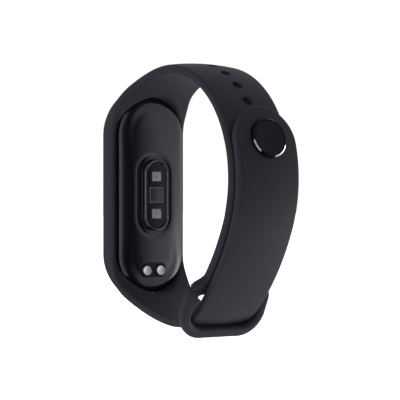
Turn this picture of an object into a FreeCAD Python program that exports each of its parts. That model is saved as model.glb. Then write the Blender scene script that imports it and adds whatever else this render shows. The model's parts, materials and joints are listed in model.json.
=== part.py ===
import FreeCAD, Part
import os
from math import asin, atan2, cos, degrees, radians, sin

V = FreeCAD.Vector

# Fitness tracker band, fastened.  Millimetres.
# Origin: middle of the wrist opening, level with the middle of the tracker capsule.
# +X from the tracker to the clasp, +Y along the wrist, +Z up.

# ---- driving dimensions: strap -------------------------------------------------------
ARM_HALF_WIDTH = 8.2
POD_HALF_WIDTH = 10.3
ARM_EDGE_THICKNESS = 1.95
ARM_MID_THICKNESS = 2.55
POD_EDGE_THICKNESS = 5.0
POD_MID_THICKNESS = 7.0
LAYER_GAP = 0.25
POD_INNER_X = -21.4
POD_TOP_Z = 14.4
POD_BOTTOM_Z = -14.3
POD_TAPER_TURN = 45.0
POD_CROWN_TAPER_TURN = 62.0
WIDTH_TAPER_START_Z = 19.0
WIDTH_TAPER_END_Z = 28.0

# Inner face of the hole arm, clockwise from the pod top: (radius, turn in degrees).
HOLE_ARM_ARCS = ((10.7, 60.8), (33.0, 19.2), (23.3, 63.5), (24.9, 60.0), (50.0, 18.6))
# Inner face of the lower arm, counter-clockwise from the pod bottom.
LOWER_ARM_ARCS = ((9.8, 60.0), (41.0, 24.0))

HOLE_COUNT = 12
HOLE_PITCH = 4.85
HOLE_RADIUS = 1.1
HOLES_ABOVE_STUD = 5
STUD_HEADING = 106.9

# ---- driving dimensions: keeper ring ---------------------------------------------------
RING_HALF_WIDTH = 11.2
RING_SIDE_BAR = 2.0
RING_END_BAR = 2.9
RING_TOP_BAR = 2.4
RING_DEPTH = 3.2
RING_CORNER = 4.8
RING_SLOT_CORNER = 3.0
RING_EDGE_ROUND = 0.9
RING_FOOT = (6.9, -30.85)

# ---- driving dimensions: tail hinges and stud --------------------------------------------
TAIL_CUTS = (0.0, 8.2, 16.4, 24.6, 31.8)
TAIL_END_PAST_STUD = 7.5
TAIL_END_RADIUS = 8.4
CUT_GAP = 0.06
STUD_DISC_RADIUS = 4.55
STUD_RIM_WIDTH = 0.55
STUD_DISC_HEIGHT = 1.25
STUD_NECK_RADIUS = 1.0
STUD_HEAD_RADIUS = 1.7
STUD_HEAD_HEIGHT = 0.9
STUD_FLANGE_RADIUS = 3.2
STUD_FLANGE_THICKNESS = 0.6
RIM_PATCH_SPAN = (-2.6, 6.6)
RIM_PATCH_HALF_WIDTH = 3.0

# ---- driving dimensions: tracker capsule ---------------------------------------------------
CAPSULE_HALF_WIDTH = 8.95
CAPSULE_HALF_LENGTH = 23.4
CAPSULE_FRONT_X = -29.5
CAPSULE_BACK_X = -18.7
CAPSULE_END_FRONT_X = -23.2
CAPSULE_END_BACK_X = -20.4
CAPSULE_SIDE_FRONT_X = -27.4
CAPSULE_SIDE_BACK_X = -20.7
CAPSULE_FLAT_FRONT = 15.5
CAPSULE_FLAT_BACK = 19.0
CAPSULE_FLAT_SIDE = 6.3
POCKET_CLEARANCE = 0.12
GLASS_THICKNESS = 1.1
GASKET_THICKNESS = 0.15
CAVITY_HALF_WIDTH = 7.8
CAVITY_HALF_LENGTH = 19.6
CAVITY_BACK_X = -20.5
FIT_GAP = 0.05

SENSOR_RING_HALF = (3.5, 8.6)
SENSOR_WINDOW_HALF = (2.75, 7.9)
SENSOR_RING_X = -17.6
SENSOR_WINDOW_X = -17.75
LED_HALF = (1.3, 1.15)
LED_Z = 4.45
PHOTODIODE_HALF = (1.75, 1.6)
CONTACT_RADIUS = 1.15
CONTACT_HALF_SPACING = 1.95
CONTACT_Z = -18.1
CONTACT_FACE_X = -19.15
CONTACT_RECESS_HALF = (3.75, 1.95)
CONTACT_RECESS_FLOOR_X = -19.25
SENSOR_BOARD_HALF = (4.6, 9.2)
SENSOR_BOARD_THICKNESS = 0.6
SENSOR_BOARD_CORNER = 1.2
PHOTODIODE_RIM = 0.35

# ---- driving dimensions: inside the capsule ---------------------------------------------------
DISPLAY_HALF_WIDTH = 6.2
DISPLAY_HALF_LENGTH = 15.2
DISPLAY_THICKNESS = 1.1
ADHESIVE_THICKNESS = 0.2
MID_FRAME_HALF_WIDTH = 7.2
MID_FRAME_Z = (-13.2, 15.0)
MID_FRAME_THICKNESS = 0.7
RIBBON_HALF_WIDTH = 2.5
RIBBON_THICKNESS = 0.15
RIBBON_TURN_Z = -15.4
BOARD_HALF = (7.3, 18.6)
BOARD_FRONT_X = -22.4
BOARD_THICKNESS = 0.8
BATTERY_HALF_WIDTH = 6.9
BATTERY_Z = (-8.0, 15.0)
BATTERY_X = (-26.15, -22.65)
MOTOR_X = -24.8
MOTOR_Z = -10.6
MOTOR_RADIUS = 1.38
MOTOR_SHAFT_RADIUS = 0.35


# ---- plane paths: x, z and heading in degrees, extruded or turned about Y --------------------
def unit(angle):
    return V(cos(radians(angle)), 0, sin(radians(angle)))


def arc_step(state, radius, turn):
    """Follow an arc; a positive turn is counter-clockwise in the XZ plane."""
    point, heading = state
    side = 1 if turn > 0 else -1
    centre = point + unit(heading + 90) * (side * radius)
    return (centre - unit(heading + turn + 90) * (side * radius), heading + turn), centre


def line_step(state, length):
    point, heading = state
    return (point + unit(heading) * length, heading)


def walk(state, moves):
    """Pieces of a path: (state, radius, turn, length, centre); a straight has no turn."""
    pieces = []
    for radius, turn in moves:
        if turn == 0:
            pieces.append((state, 0, 0, radius, None))
            state = line_step(state, radius)
        else:
            end, centre = arc_step(state, radius, turn)
            pieces.append((state, radius, turn, radius * radians(abs(turn)), centre))
            state = end
    return pieces, state


def part_way(piece, distance):
    """The path's place a distance into one piece."""
    state, radius, turn, length, centre = piece
    if turn == 0:
        return line_step(state, distance)
    return arc_step(state, radius, turn * distance / length)[0] if distance > 0 else state


def place_on(pieces, distance):
    for piece in pieces:
        if distance <= piece[3]:
            return part_way(piece, distance)
        distance -= piece[3]
    return part_way(pieces[-1], pieces[-1][3])


def stretch(pieces, start, end):
    """The pieces of a path between two distances along it."""
    found = []
    for piece in pieces:
        state, radius, turn, length, centre = piece
        low, high = max(start, 0), min(end, length)
        if high - low > 1e-6:
            share = (high - low) / length
            found.append((part_way(piece, low), radius, turn * share, high - low, centre))
        start -= length
        end -= length
    return found


def section(state, outward, half_width, edge, middle, inset=0.0):
    """Closed strap section across the path: flat inner face, crowned outer face."""
    point, heading = state
    normal = unit(heading + 90 * outward)

    def at(y, r):
        return point + normal * (r + inset) + V(0, y, 0)

    corners = [at(-half_width, 0), at(half_width, 0), at(half_width, edge), at(-half_width, edge)]
    crown = Part.Arc(corners[2], at(0, middle), corners[3]).toShape()
    sides = [Part.makeLine(corners[0], corners[1]), Part.makeLine(corners[1], corners[2]), crown]
    return Part.Wire(sides + [Part.makeLine(corners[3], corners[0])])


def arm_sweep(pieces, outward, grow=0.0):
    """Arm section carried along path pieces; grow thickens it all round."""
    solids = []
    for state, radius, turn, length, centre in pieces:
        face = Part.Face(section(state, outward, ARM_HALF_WIDTH + grow, ARM_EDGE_THICKNESS + 2 * grow,
                                 ARM_MID_THICKNESS + 2 * grow, -grow))
        if turn == 0:
            solids.append(face.extrude(unit(state[1]) * length))
        else:
            solids.append(face.revolve(centre, V(0, -1, 0), turn))
    return solids[0].fuse(solids[1:]).removeSplitter() if len(solids) > 1 else solids[0]


def smooth(share):
    share = min(max(share, 0.0), 1.0)
    return share * share * (3 - 2 * share)


def pod_end_section(state, outward, share):
    """Section of the strap where it narrows and thins from the pod to an arm."""
    height = abs(state[0].z)
    narrow = smooth((height - WIDTH_TAPER_START_Z) / (WIDTH_TAPER_END_Z - WIDTH_TAPER_START_Z))
    half_width = POD_HALF_WIDTH + (ARM_HALF_WIDTH - POD_HALF_WIDTH) * narrow
    thin = smooth(share)
    edge = POD_EDGE_THICKNESS + (ARM_EDGE_THICKNESS - POD_EDGE_THICKNESS) * thin
    thin = smooth(share * POD_TAPER_TURN / POD_CROWN_TAPER_TURN)
    middle = POD_MID_THICKNESS + (ARM_MID_THICKNESS - POD_MID_THICKNESS) * thin
    return section(state, outward, half_width, edge, middle)


def pod_end(piece, outward, turned=0.0, count=7):
    """Ruled loft along one arc of the path; turned is how far the path has bent before it."""
    state, radius, turn, length, centre = piece
    wires = []
    for i in range(count):
        share = i / (count - 1)
        bent = turned + abs(turn) * share
        wires.append(pod_end_section(part_way(piece, length * share), outward, bent / POD_TAPER_TURN))
    return Part.makeLoft(wires, True, True)


def box(x0, x1, y0, y1, z0, z1):
    return Part.makeBox(x1 - x0, y1 - y0, z1 - z0, V(x0, y0, z0))


def cylinder(radius, base, direction, length):
    return Part.makeCylinder(radius, length, base, direction)


def stadium(half_width, half_length, x0, x1, z=0.0):
    """Prism along X with a stadium outline, longest along Z or along Y."""
    radius = min(half_width, half_length)
    dy = half_width - radius
    dz = half_length - radius
    ends = [cylinder(radius, V(x0, sy * dy, z + sz * dz), V(1, 0, 0), x1 - x0)
            for sy in (-1, 1) for sz in (-1, 1)]
    bars = [box(x0, x1, -half_width, half_width, z - dz, z + dz) if dz else None,
            box(x0, x1, -dy, dy, z - half_length, z + half_length) if dy else None]
    return ends[0].multiFuse(ends[1:] + [b for b in bars if b]).removeSplitter()


def rounded_prism(half_y, half_z, corner, x0, x1, y=0.0, z=0.0):
    """Prism along X with a rounded rectangle outline."""
    block = box(x0, x1, y - half_y, y + half_y, z - half_z, z + half_z)
    edges = [e for e in block.Edges if abs(e.tangentAt(e.FirstParameter).x) > 0.9]
    return block.makeFillet(corner, edges)


def save(shape, node):
    solids = shape.Solids
    shape = solids[0] if len(solids) == 1 else Part.makeCompound(solids)
    if not shape.isValid():
        raise ValueError(node + " is not a valid solid")
    shape.exportStep("parts/" + node + ".step")


# ---- tracker capsule outline ---------------------------------------------------------------
def profile_prism(points, mids, along, reach):
    """Prism whose outline runs through points, with an arc where a mid point is given."""
    edges = []
    for i, start in enumerate(points):
        end = points[(i + 1) % len(points)]
        if mids[i] is None:
            edges.append(Part.makeLine(start, end))
        else:
            edges.append(Part.Arc(start, mids[i], end).toShape())
    face = Part.Face(Part.Wire(edges))
    face.translate(along * -reach)
    return face.extrude(along * (2 * reach))


def bowed(start, end, bow):
    """Middle of an arc from start to end that stands off its chord by bow."""
    chord = end - start
    in_xz_plane = abs(chord.y) < 1e-9 and abs(start.y) < 1e-9
    across = V(chord.z, 0, -chord.x) if in_xz_plane else V(chord.y, -chord.x, 0)
    across.normalize()
    return (start + end) * 0.5 + across * bow


def capsule_form(sink=0.0):
    """Stadium in front view, bowed to thin ends in side view and thin edges in end view.

    sink sets the front surface back, for what lies under the glass.
    """
    face_x = CAPSULE_FRONT_X + sink
    end_x = CAPSULE_END_FRONT_X + sink
    side_x = CAPSULE_SIDE_FRONT_X + sink
    front = stadium(CAPSULE_HALF_WIDTH, CAPSULE_HALF_LENGTH, CAPSULE_FRONT_X - 1, CAPSULE_BACK_X + 1)
    length = CAPSULE_HALF_LENGTH + 0.4
    ring = [V(face_x, 0, -CAPSULE_FLAT_FRONT), V(face_x, 0, CAPSULE_FLAT_FRONT),
            V(end_x, 0, length), V(CAPSULE_END_BACK_X, 0, length),
            V(CAPSULE_BACK_X - 0.4, 0, CAPSULE_FLAT_BACK), V(CAPSULE_BACK_X - 0.4, 0, -CAPSULE_FLAT_BACK),
            V(CAPSULE_END_BACK_X, 0, -length), V(end_x, 0, -length)]
    mids = [None, bowed(ring[1], ring[2], -1.3), None, bowed(ring[3], ring[4], -0.5),
            V(CAPSULE_BACK_X, 0, 0), bowed(ring[5], ring[6], -0.5), None,
            bowed(ring[7], ring[0], -1.3)]
    side = profile_prism(ring, mids, V(0, 1, 0), CAPSULE_HALF_WIDTH + 1)
    width = CAPSULE_HALF_WIDTH + 0.05
    flat = CAPSULE_FLAT_SIDE
    back_x = CAPSULE_BACK_X + 0.3
    loop = [V(face_x, -flat, 0), V(face_x, flat, 0),
            V(side_x, width, 0), V(CAPSULE_SIDE_BACK_X, width, 0),
            V(back_x, flat, 0), V(back_x, -flat, 0),
            V(CAPSULE_SIDE_BACK_X, -width, 0), V(side_x, -width, 0)]
    bows = [None, bowed(loop[1], loop[2], -0.45), None, bowed(loop[3], loop[4], -0.45),
            None, bowed(loop[5], loop[6], -0.45), None, bowed(loop[7], loop[0], -0.45)]
    end = profile_prism(loop, bows, V(0, 0, 1), CAPSULE_HALF_LENGTH + 1)
    return front.common(side).common(end)


# ---- strap ---------------------------------------------------------------------------------
def hole_arm_path():
    start = (V(POD_INNER_X, 0, POD_TOP_Z), 90)
    return walk(start, [(radius, -turn) for radius, turn in HOLE_ARM_ARCS])


def lower_path():
    """Lower arm, then the bend and straight through the keeper, then the tail's arcs."""
    layer = ARM_MID_THICKNESS + LAYER_GAP
    hole_end, hole_heading = hole_arm_path()[1]
    meet = hole_end + unit(hole_heading + 90) * layer
    meet_heading = hole_heading + 180
    start = (V(POD_INNER_X, 0, POD_BOTTOM_Z), -90)
    low_end, low_heading = walk(start, LOWER_ARM_ARCS)[1]
    a, b = radians(low_heading), radians(meet_heading)
    gap = meet - low_end
    # One arc and one straight, tangent to both ends, close the gap.
    across, up = sin(b) - sin(a), cos(a) - cos(b)
    scale = across * sin(b) - up * cos(b)
    bend = (gap.x * sin(b) - gap.z * cos(b)) / scale
    straight = (across * gap.z - up * gap.x) / scale
    outer = [(radius + layer, turn) for radius, turn in reversed(HOLE_ARM_ARCS)]
    moves = list(LOWER_ARM_ARCS) + [(bend, meet_heading - low_heading), (straight, 0)] + outer[:3]
    pieces = walk(start, moves)[0]
    lead = sum(piece[3] for piece in pieces[:4])
    return pieces, lead


def outward_axis(state, side):
    return unit(state[1] + 90 * side)


def along_box(state, low, high, half_width, depth):
    """Block at a path place: from low to high along the path, through the strap."""
    point, heading = state
    block = box(low, high, -half_width, half_width, -depth, depth)
    block.rotate(V(0, 0, 0), V(0, -1, 0), heading)
    block.translate(point)
    return block


def stud_place():
    """Tail path place under the middle of the stud, and its distance along the lower path."""
    pieces, lead = lower_path()
    passed = lead
    for piece in stretch(pieces, lead, 1000):
        turn_left = STUD_HEADING - piece[0][1]
        if piece[2] and turn_left <= piece[2]:
            reach = piece[3] * turn_left / piece[2]
            return part_way(piece, reach), passed + reach
        passed += piece[3]


def hole_places():
    """Adjustment hole places on the hole arm's inner face, from the pod down."""
    pieces = hole_arm_path()[0]
    wanted = STUD_HEADING - 180
    passed = 0
    for piece in pieces:
        heading = piece[0][1]
        if heading + piece[2] <= wanted:
            passed += piece[3] * (heading - wanted) / -piece[2]
            break
        passed += piece[3]
    first = passed - HOLES_ABOVE_STUD * HOLE_PITCH
    return [place_on(pieces, first + i * HOLE_PITCH) for i in range(HOLE_COUNT)]


def hole_cutter(state, radius):
    normal = unit(state[1] + 90)
    return cylinder(radius, state[0] - normal * 2, normal, 6)


def make_strap_pod():
    top = hole_arm_path()[0][0]
    bottom = lower_path()[0][0]
    start = (V(POD_INNER_X, 0, POD_BOTTOM_Z), 90)
    middle = Part.Face(section(start, 1, POD_HALF_WIDTH, POD_EDGE_THICKNESS, POD_MID_THICKNESS))
    pod = middle.extrude(V(0, 0, POD_TOP_Z - POD_BOTTOM_Z))
    pod = pod.fuse([pod_end(top, 1), pod_end(bottom, -1)])
    pocket = stadium(CAPSULE_HALF_WIDTH + POCKET_CLEARANCE, CAPSULE_HALF_LENGTH + POCKET_CLEARANCE,
                     CAPSULE_FRONT_X - 5, POD_INNER_X + 10)
    return pod.cut(pocket)


def engaged_rim_block(margin=0.0):
    """The part of the hole arm that stretches, from beside the stud to past the next hole."""
    low, high = RIM_PATCH_SPAN
    place = hole_places()[HOLES_ABOVE_STUD]
    return along_box(place, low + margin, high - margin, RIM_PATCH_HALF_WIDTH - margin, 5)


def make_hole_arm(keeper):
    pieces = hole_arm_path()[0]
    turned = HOLE_ARM_ARCS[0][1]
    arm = pod_end(pieces[1], 1, turned).fuse(arm_sweep(pieces[2:], 1))
    pocket = stadium(CAPSULE_HALF_WIDTH + POCKET_CLEARANCE, CAPSULE_HALF_LENGTH + POCKET_CLEARANCE,
                     CAPSULE_FRONT_X - 5, POD_INNER_X + 10)
    cutters = [hole_cutter(place, HOLE_RADIUS) for place in hole_places()]
    return arm.cut(cutters + [engaged_rim_block(), keeper, pocket])


def make_engaged_hole_rim():
    """Elastic rim that stretches round the stud's head as it snaps through."""
    arm = arm_sweep(hole_arm_path()[0][2:], 1)
    rim = arm.common(engaged_rim_block(CUT_GAP))
    return rim.cut([hole_cutter(place, HOLE_RADIUS) for place in hole_places()])


def ring_plane():
    """Keeper ring frame: middle of the ring's foot bar, up along the ring, out through it."""
    end, heading = hole_arm_path()[1]
    shoulder = end + unit(heading + 90) * ARM_MID_THICKNESS
    foot = V(RING_FOOT[0], 0, RING_FOOT[1])
    lean = degrees(atan2(shoulder.z - foot.z, shoulder.x - foot.x))
    shift = degrees(asin(RING_DEPTH / 2 / (shoulder - foot).Length))
    return foot, lean + shift, (shoulder - foot).Length * cos(radians(shift))


def ring_frame(half_width, low, high, corner, depth):
    """Rounded rectangle standing in the keeper ring's plane."""
    foot, lean, height = ring_plane()
    middle = (low + high) / 2
    frame = rounded_prism(half_width, (high - low) / 2, corner, -depth / 2, depth / 2)
    frame.translate(V(0, 0, middle))
    frame.rotate(V(0, 0, 0), V(0, -1, 0), lean - 90)
    frame.translate(foot)
    return frame


def make_keeper_ring():
    height = ring_plane()[2]
    bar = RING_END_BAR / 2
    outer = ring_frame(RING_HALF_WIDTH, -bar, height + RING_TOP_BAR / 2, RING_CORNER, RING_DEPTH)
    outer = outer.makeFillet(RING_EDGE_ROUND, outer.Edges)
    slot = ring_frame(RING_HALF_WIDTH - RING_SIDE_BAR, bar, height - RING_TOP_BAR / 2,
                      RING_SLOT_CORNER, RING_DEPTH + 4)
    pieces, lead = lower_path()
    way_through = arm_sweep(stretch(pieces, pieces[0][3] + pieces[1][3] - 8, lead + 8), -1, LAYER_GAP)
    return outer.cut([slot, way_through])


def make_lower_arm():
    pieces, lead = lower_path()
    turned = LOWER_ARM_ARCS[0][1]
    taper = pod_end(pieces[1], -1, turned)
    passage = arm_sweep(stretch(pieces, pieces[0][3] + pieces[1][3], lead - CUT_GAP), -1)
    pocket = stadium(CAPSULE_HALF_WIDTH + POCKET_CLEARANCE, CAPSULE_HALF_LENGTH + POCKET_CLEARANCE,
                     CAPSULE_FRONT_X - 5, POD_INNER_X + 10)
    return taper.fuse(passage).cut(pocket)


def make_tail_segments():
    """The tail in short stiff lengths; the last one carries the stud and a round tip."""
    pieces, lead = lower_path()
    place, stud_distance = stud_place()
    ends = list(TAIL_CUTS[1:]) + [stud_distance - lead + TAIL_END_PAST_STUD]
    segments = []
    for start, end in zip(TAIL_CUTS, ends):
        last = end == ends[-1]
        run = stretch(pieces, lead + start, lead + end - (0 if last else CUT_GAP))
        segments.append(arm_sweep(run, -1))
    axis = outward_axis(place, -1)
    set_back = TAIL_END_RADIUS - TAIL_END_PAST_STUD
    tip = cylinder(TAIL_END_RADIUS, place[0] - unit(place[1]) * set_back - axis * 4, axis, 12)
    square = along_box(place, -12, -set_back, ARM_HALF_WIDTH + 1, 6)
    segments[-1] = segments[-1].common(tip.fuse(square))
    segments[-1] = segments[-1].cut(stud_hole_cutters())
    return segments


def stud_disc(radius, low, high, inner=0.0):
    """Disc or ring about the stud axis between two heights above the tail's inner face."""
    place = stud_place()[0]
    axis = outward_axis(place, -1)
    disc = cylinder(radius, place[0] + axis * low, axis, high - low)
    return disc.cut(cylinder(inner, place[0] + axis * (low - 1), axis, high - low + 2)) if inner else disc


def stud_hole_cutters():
    flange_low = ARM_MID_THICKNESS - STUD_FLANGE_THICKNESS
    return [stud_disc(STUD_NECK_RADIUS + FIT_GAP, -1, ARM_MID_THICKNESS + 1),
            stud_disc(STUD_DISC_RADIUS + FIT_GAP, flange_low, ARM_MID_THICKNESS + 3)]


def make_stud():
    """Cap, polished rim, pin with a mushroom head, and the washer under the cap."""
    seat = ARM_MID_THICKNESS - STUD_FLANGE_THICKNESS
    top = ARM_MID_THICKNESS + STUD_DISC_HEIGHT - STUD_FLANGE_THICKNESS
    inner = STUD_DISC_RADIUS - STUD_RIM_WIDTH
    washer = stud_disc(STUD_FLANGE_RADIUS, seat, seat + 0.3, STUD_NECK_RADIUS + FIT_GAP)
    rim = stud_disc(STUD_DISC_RADIUS, seat, top, inner)
    outer_edge = max(rim.Edges, key=lambda e: (round(e.Length, 3), distance_out(e)))
    rim = rim.makeChamfer(0.3, [outer_edge])
    cap = stud_disc(inner - FIT_GAP, seat + 0.3, top - 0.05, STUD_NECK_RADIUS + FIT_GAP)
    cap = cap.fuse(stud_disc(inner - FIT_GAP, seat + 0.8, top - 0.05))
    under = -(ARM_MID_THICKNESS + LAYER_GAP) - 0.1
    neck = stud_disc(STUD_NECK_RADIUS, under, seat + 0.75)
    head = stud_disc(STUD_HEAD_RADIUS, under - STUD_HEAD_HEIGHT, under)
    tip_edge = min(head.Edges, key=distance_out)
    head = head.makeFillet(0.6, [tip_edge])
    return {"stud_cap": cap, "stud_rim": rim, "stud_washer": washer, "stud_pin": neck.fuse(head)}


def distance_out(edge):
    """How far an edge's middle lies out along the stud axis."""
    place = stud_place()[0]
    return edge.CenterOfMass.sub(place[0]).dot(outward_axis(place, -1))


# ---- tracker capsule -------------------------------------------------------------------------
def cavity(x0, x1, margin=0.0):
    return stadium(CAVITY_HALF_WIDTH - margin, CAVITY_HALF_LENGTH - margin, x0, x1)


def plate(half_y, z0, z1, x0, x1, corner=0.6):
    return rounded_prism(half_y, (z1 - z0) / 2, corner, x0, x1, 0, (z0 + z1) / 2)


def contact_pins(radius, x0, x1, inner=0.0):
    pins = []
    for side in (-1, 1):
        base = V(x0, side * CONTACT_HALF_SPACING, CONTACT_Z)
        pin = cylinder(radius, base, V(1, 0, 0), x1 - x0)
        if inner:
            pin = pin.cut(cylinder(inner, base - V(1, 0, 0), V(1, 0, 0), x1 - x0 + 2))
        pins.append(pin)
    return Part.makeCompound(pins)


def sensor_block(half, z, x0, x1):
    return box(x0, x1, -half[0], half[0], z - half[1], z + half[1])


def make_capsule_shells():
    under_glass = capsule_form(GLASS_THICKNESS)
    body = capsule_form(GLASS_THICKNESS + GASKET_THICKNESS)
    opening = cavity(CAPSULE_FRONT_X - 1, CAVITY_BACK_X)
    glass = capsule_form().cut(under_glass)
    gasket = under_glass.cut(body).cut(cavity(CAPSULE_FRONT_X - 1, CAPSULE_BACK_X, -0.5))
    ring_hole = stadium(SENSOR_RING_HALF[0] + FIT_GAP, SENSOR_RING_HALF[1] + FIT_GAP,
                        CAVITY_BACK_X - 1, CAPSULE_BACK_X + 3)
    recess = stadium(CONTACT_RECESS_HALF[0], CONTACT_RECESS_HALF[1],
                     CONTACT_RECESS_FLOOR_X - 0.05, CAPSULE_BACK_X + 2, CONTACT_Z)
    seal_holes = contact_pins(CONTACT_RADIUS + 0.3, CAVITY_BACK_X - 1, CAPSULE_BACK_X + 2)
    body = body.cut([opening, ring_hole, recess, seal_holes])
    return {"front_glass": biggest(glass), "glass_gasket": biggest(gasket), "rear_shell": biggest(body)}


def biggest(shape):
    return max(shape.Solids, key=lambda solid: solid.Volume)


def make_sensor():
    back = CAVITY_BACK_X
    bezel = stadium(*SENSOR_RING_HALF, back, SENSOR_RING_X)
    round_edges = [e for e in bezel.Edges if min(v.X for v in e.Vertexes) > SENSOR_RING_X - 0.01]
    bezel = bezel.makeFillet(0.3, round_edges)
    bezel = bezel.cut(stadium(*SENSOR_WINDOW_HALF, back - 1, SENSOR_RING_X + 1))
    window = stadium(SENSOR_WINDOW_HALF[0] - FIT_GAP, SENSOR_WINDOW_HALF[1] - FIT_GAP,
                     back + 0.1, SENSOR_WINDOW_X)
    leds = [sensor_block(LED_HALF, z, back, SENSOR_WINDOW_X - 0.02) for z in (LED_Z, -LED_Z)]
    wells = [sensor_block((LED_HALF[0] + FIT_GAP, LED_HALF[1] + FIT_GAP), z, back - 1, -10)
             for z in (LED_Z, -LED_Z)]
    eye = sensor_block(PHOTODIODE_HALF, 0, back, SENSOR_WINDOW_X - 0.25)
    frame_half = (PHOTODIODE_HALF[0] + PHOTODIODE_RIM, PHOTODIODE_HALF[1] + PHOTODIODE_RIM)
    frame = sensor_block(frame_half, 0, back, SENSOR_WINDOW_X - 0.1)
    frame = frame.cut(sensor_block((PHOTODIODE_HALF[0] + 0.03, PHOTODIODE_HALF[1] + 0.03), 0, -30, -10))
    well = sensor_block((frame_half[0] + FIT_GAP, frame_half[1] + FIT_GAP), 0, back - 1, -10)
    board_front = back - FIT_GAP - SENSOR_BOARD_THICKNESS
    board = plate(SENSOR_BOARD_HALF[0], -SENSOR_BOARD_HALF[1], SENSOR_BOARD_HALF[1], board_front,
                  back - FIT_GAP, SENSOR_BOARD_CORNER)
    return {"sensor_bezel": bezel, "sensor_window": window.cut(wells + [well]),
            "sensor_leds": Part.makeCompound(leds), "photodiode": eye,
            "photodiode_frame": frame, "sensor_board": board}


def make_display():
    """Adhesive, panel and frame stacked under the glass, and the ribbon folded back to the board."""
    glass_x = CAPSULE_FRONT_X + GLASS_THICKNESS
    low, high = -DISPLAY_HALF_LENGTH, DISPLAY_HALF_LENGTH
    adhesive_x = glass_x + 0.02
    panel_x = glass_x + FIT_GAP + ADHESIVE_THICKNESS
    frame_x = panel_x + DISPLAY_THICKNESS + 0.1
    adhesive = plate(DISPLAY_HALF_WIDTH, low, high, adhesive_x, adhesive_x + ADHESIVE_THICKNESS, 1.5)
    panel = plate(DISPLAY_HALF_WIDTH, low, high, panel_x, panel_x + DISPLAY_THICKNESS, 1.5)
    frame = plate(MID_FRAME_HALF_WIDTH, *MID_FRAME_Z, frame_x, frame_x + MID_FRAME_THICKNESS, 2.0)
    start = panel_x + DISPLAY_THICKNESS + FIT_GAP
    inner_turn = RIBBON_TURN_Z + RIBBON_THICKNESS
    back_x = BOARD_FRONT_X - FIT_GAP
    ribbon = [V(start, 0, -13.4), V(start, 0, RIBBON_TURN_Z), V(back_x, 0, RIBBON_TURN_Z),
              V(back_x, 0, -14.0), V(back_x - RIBBON_THICKNESS, 0, -14.0),
              V(back_x - RIBBON_THICKNESS, 0, inner_turn), V(start + RIBBON_THICKNESS, 0, inner_turn),
              V(start + RIBBON_THICKNESS, 0, -13.4)]
    flex = profile_prism(ribbon, [None] * len(ribbon), V(0, 1, 0), RIBBON_HALF_WIDTH)
    return {"display_adhesive": adhesive, "display_panel": panel, "mid_frame": frame, "display_flex": flex}


def make_electronics():
    """Main board with its chips on both faces, the battery, the antenna and the charging contacts."""
    board_back = BOARD_FRONT_X + BOARD_THICKNESS
    front_mount = BOARD_FRONT_X - 0.02
    back_mount = board_back + FIT_GAP
    board = stadium(*BOARD_HALF, BOARD_FRONT_X, board_back)
    battery = plate(BATTERY_HALF_WIDTH, *BATTERY_Z, *BATTERY_X, 1.0)
    shield = box(front_mount - 1.08, front_mount, 2.8, 6.8, -14.4, -8.8)
    memory = box(front_mount - 0.68, front_mount, -5.6, -2.9, -16.0, -13.4)
    motion = box(back_mount, back_mount + 0.6, 5.2, 7.0, -3.0, 0.0)
    connector = box(back_mount, back_mount + 0.35, -2.0, 2.0, -8.5, -6.5)
    antenna = plate(5.0, 16.0, 17.6, -26.1, -25.7, 0.5)
    springs = contact_pins(0.7, back_mount, CAVITY_BACK_X - 0.35)
    pins = contact_pins(CONTACT_RADIUS, CAVITY_BACK_X - 0.3, CONTACT_FACE_X)
    seals = contact_pins(CONTACT_RADIUS + 0.27, CAVITY_BACK_X, CONTACT_RECESS_FLOOR_X - 0.3,
                         CONTACT_RADIUS + 0.03)
    return {"main_board": board, "battery": battery, "processor_shield": shield,
            "memory_chip": memory, "motion_sensor": motion, "board_connector": connector,
            "bluetooth_antenna": antenna, "contact_springs": springs, "charge_contacts": pins,
            "contact_seals": seals}


def make_motor():
    """Vibration motor: a fixed can, and a shaft with an off-centre weight."""
    along = V(0, 1, 0)
    can = cylinder(MOTOR_RADIUS, V(MOTOR_X, -5.8, MOTOR_Z), along, 5.6)
    can = can.cut(cylinder(MOTOR_SHAFT_RADIUS + FIT_GAP, V(MOTOR_X, -5.2, MOTOR_Z), along, 6))
    shaft = cylinder(MOTOR_SHAFT_RADIUS, V(MOTOR_X, -5.0, MOTOR_Z), along, 8.2)
    weight = cylinder(MOTOR_RADIUS, V(MOTOR_X, 0.1, MOTOR_Z), along, 2.6)
    weight = weight.cut(box(MOTOR_X - 2, MOTOR_X + 2, -1, 4, MOTOR_Z + 0.5, MOTOR_Z + 3))
    weight = weight.cut(cylinder(MOTOR_SHAFT_RADIUS, V(MOTOR_X, -1, MOTOR_Z), along, 6))
    return {"motor_can": can, "motor_shaft": shaft, "motor_weight": weight}


def main():
    os.makedirs("parts", exist_ok=True)
    keeper = make_keeper_ring()
    nodes = {"strap_pod": make_strap_pod(), "hole_arm": make_hole_arm(keeper),
             "engaged_hole_rim": make_engaged_hole_rim(), "keeper_ring": keeper,
             "lower_arm": make_lower_arm()}
    for i, segment in enumerate(make_tail_segments()):
        nodes["tail_segment_%d" % (i + 1)] = segment
    for group in (make_stud(), make_capsule_shells(), make_sensor(), make_display(),
                  make_electronics(), make_motor()):
        nodes.update(group)
    for node, shape in nodes.items():
        save(shape, node)


main()
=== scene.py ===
import bpy
import bmesh
import json
from math import asin, atan2, cos, degrees, exp, pi, radians, sin, sqrt
from mathutils import Matrix, Vector


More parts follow.
